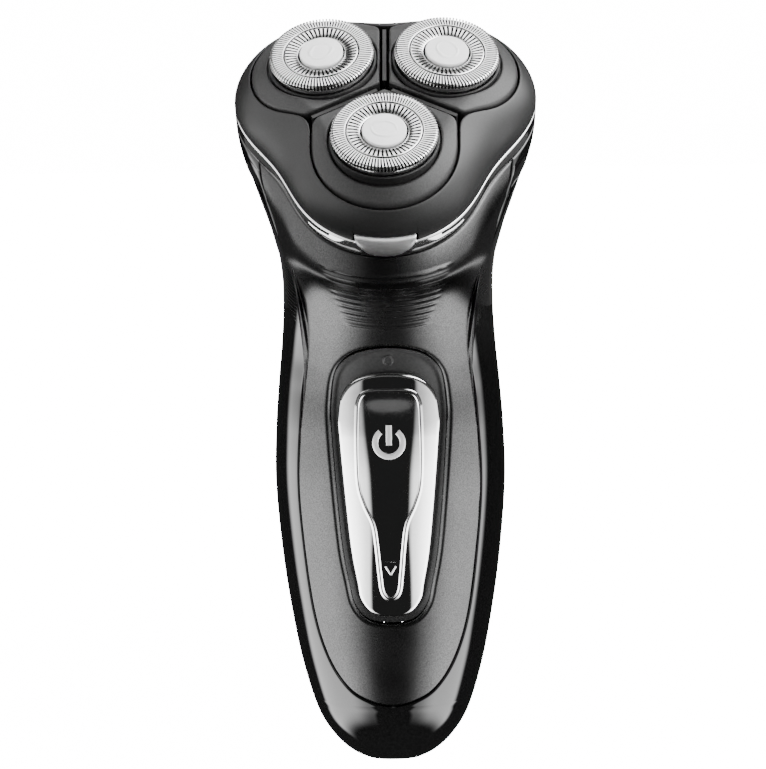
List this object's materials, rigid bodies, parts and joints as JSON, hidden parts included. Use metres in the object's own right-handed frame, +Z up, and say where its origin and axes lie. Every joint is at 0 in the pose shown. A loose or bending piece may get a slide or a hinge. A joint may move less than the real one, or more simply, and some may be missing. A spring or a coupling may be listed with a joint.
{
  "type": "rotary electric shaver",
  "caption": "Cordless rotary shaver: floating round shaving heads in a tilted head that hinges open on a waisted handle, with slide switch and drive inside.",
  "frame": {"origin": "on the ground under the middle of the overall box, with the shaver standing upright on its foot", "axes": "+Z up along the handle, -Y towards the front with the switch, +X to the right seen from the front"},
  "size_m": [0.0644, 0.0585, 0.1622],
  "materials": {
    "satin_dark": "satin metallic-flake plastic, dark grey",
    "petal_grey": "fine matt grey plastic",
    "gloss_black": "high gloss black plastic",
    "matt_black": "moulded black plastic",
    "chrome": "mirror chrome",
    "satin_silver": "satin silver",
    "steel": "stainless steel",
    "cap_disc": "pale grey moulded plastic",
    "nylon": "natural nylon",
    "brass": "machined",
    "board": "green solder mask",
    "battery": "sleeved cell"
  },
  "bodies": {
    "handle": {"front_panel": "satin_dark", "rear_shell": "gloss_black", "switch_bezel": "gloss_black", "drive_deck": "matt_black", "gear_plate": "matt_black", "charging_socket": "matt_black", "trim_ring": "chrome", "motor": "steel", "hinge_pin": "steel", "deck_screw_1": "steel", "deck_screw_2": "steel", "deck_screw_3": "steel", "shell_screw_1": "steel", "shell_screw_2": "steel", "socket_pin_1": "steel", "socket_pin_2": "steel", "circuit_board": "board", "battery_1": "battery", "battery_2": "battery"},
    "head_unit": {"head_housing": "satin_dark", "retaining_frame": "matt_black", "hair_chamber": "matt_black"},
    "cutter_1": {"cutter_1": "steel"},
    "cutter_2": {"cutter_2": "steel"},
    "cutter_3": {"cutter_3": "steel"},
    "motor_pinion": {"motor_pinion": "brass"},
    "petal_1": {"petal_1": "petal_grey", "cap_holder_1": "matt_black"},
    "petal_2": {"petal_2": "petal_grey", "cap_holder_2": "matt_black"},
    "petal_3": {"petal_3": "petal_grey", "cap_holder_3": "matt_black"},
    "release_button": {"release_button": "satin_silver"},
    "shaving_head_1": {"shaving_cap_1": "steel", "cap_disc_1": "cap_disc"},
    "shaving_head_2": {"shaving_cap_2": "steel", "cap_disc_2": "cap_disc"},
    "shaving_head_3": {"shaving_cap_3": "steel", "cap_disc_3": "cap_disc"},
    "spindle_gear_1": {"spindle_gear_1": "nylon"},
    "spindle_gear_2": {"spindle_gear_2": "nylon"},
    "spindle_gear_3": {"spindle_gear_3": "nylon"},
    "switch_slider": {"switch_plate": "chrome", "switch_carrier": "matt_black"}
  },
  "joints": [
    {"name": "head_hinge", "type": "hinge", "parent": "handle", "child": "head_unit", "pos_m": [0, 0.01798, 0.15904], "axis": [-1, 0, 0], "range_deg": [0, 95]},
    {"name": "petal_tilt_1", "type": "hinge", "parent": "head_unit", "child": "petal_1", "pos_m": [0, -0.01856, 0.13584], "axis": [1, 0, 0], "range_deg": [-3, 3], "stiffness_Nm_per_rad": 0.06},
    {"name": "cap_press_1", "type": "slide", "parent": "petal_1", "child": "shaving_head_1", "axis": [0, 0.6947, -0.7193], "range_m": [0, 0.001], "stiffness_N_per_m": 300, "springref_m": -0.002},
    {"name": "cutter_spin_1", "type": "hinge", "parent": "shaving_head_1", "child": "cutter_1", "pos_m": [0, -0.02203, 0.13944], "axis": [0, -0.6947, 0.7193], "continuous": true},
    {"name": "spindle_spin_1", "type": "hinge", "parent": "handle", "child": "spindle_gear_1", "pos_m": [0, -0.00895, 0.12705], "axis": [0, -0.6947, 0.7193], "continuous": true},
    {"name": "petal_tilt_2", "type": "hinge", "parent": "head_unit", "child": "petal_2", "pos_m": [0.01279, -0.00233, 0.15155], "axis": [-0.5, 0.623, 0.6016], "range_deg": [-3, 3], "stiffness_Nm_per_rad": 0.06},
    {"name": "cap_press_2", "type": "slide", "parent": "petal_2", "child": "shaving_head_2", "axis": [-0.0755, 0.6607, -0.7469], "range_m": [0, 0.001], "stiffness_N_per_m": 300, "springref_m": -0.002},
    {"name": "cutter_spin_2", "type": "hinge", "parent": "shaving_head_2", "child": "cutter_2", "pos_m": [0.01316, -0.00563, 0.15528], "axis": [0.0755, -0.6607, 0.7469], "continuous": true},
    {"name": "spindle_spin_2", "type": "hinge", "parent": "handle", "child": "spindle_gear_2", "pos_m": [0.01247, 0.00658, 0.14205], "axis": [0, -0.6947, 0.7193], "continuous": true},
    {"name": "petal_tilt_3", "type": "hinge", "parent": "head_unit", "child": "petal_3", "pos_m": [-0.01279, -0.00233, 0.15155], "axis": [-0.5, -0.623, -0.6016], "range_deg": [-3, 3], "stiffness_Nm_per_rad": 0.06},
    {"name": "cap_press_3", "type": "slide", "parent": "petal_3", "child": "shaving_head_3", "axis": [0.0755, 0.6607, -0.7469], "range_m": [0, 0.001], "stiffness_N_per_m": 300, "springref_m": -0.002},
    {"name": "cutter_spin_3", "type": "hinge", "parent": "shaving_head_3", "child": "cutter_3", "pos_m": [-0.01316, -0.00563, 0.15528], "axis": [-0.0755, -0.6607, 0.7469], "continuous": true},
    {"name": "spindle_spin_3", "type": "hinge", "parent": "handle", "child": "spindle_gear_3", "pos_m": [-0.01247, 0.00658, 0.14205], "axis": [0, -0.6947, 0.7193], "continuous": true},
    {"name": "pinion_spin", "type": "hinge", "parent": "handle", "child": "motor_pinion", "pos_m": [0, 0.0014, 0.13705], "axis": [0, -0.6947, 0.7193], "continuous": true},
    {"name": "button_press", "type": "slide", "parent": "handle", "child": "release_button", "axis": [0, 0.7193, 0.6947], "range_m": [0, 0.001], "stiffness_N_per_m": 400, "springref_m": -0.0015},
    {"name": "switch_slide", "type": "slide", "parent": "handle", "child": "switch_slider", "axis": [0, -0.03, 0.9996], "range_m": [0, 0.0035]}
  ],
  "couplings": [
    {"joint": "spindle_spin_2", "follows": "spindle_spin_1", "ratio": 1},
    {"joint": "spindle_spin_3", "follows": "spindle_spin_1", "ratio": 1},
    {"joint": "pinion_spin", "follows": "spindle_spin_1", "ratio": -2},
    {"joint": "cutter_spin_1", "follows": "spindle_spin_1", "ratio": 1},
    {"joint": "cutter_spin_2", "follows": "spindle_spin_1", "ratio": 1},
    {"joint": "cutter_spin_3", "follows": "spindle_spin_1", "ratio": 1}
  ]
}
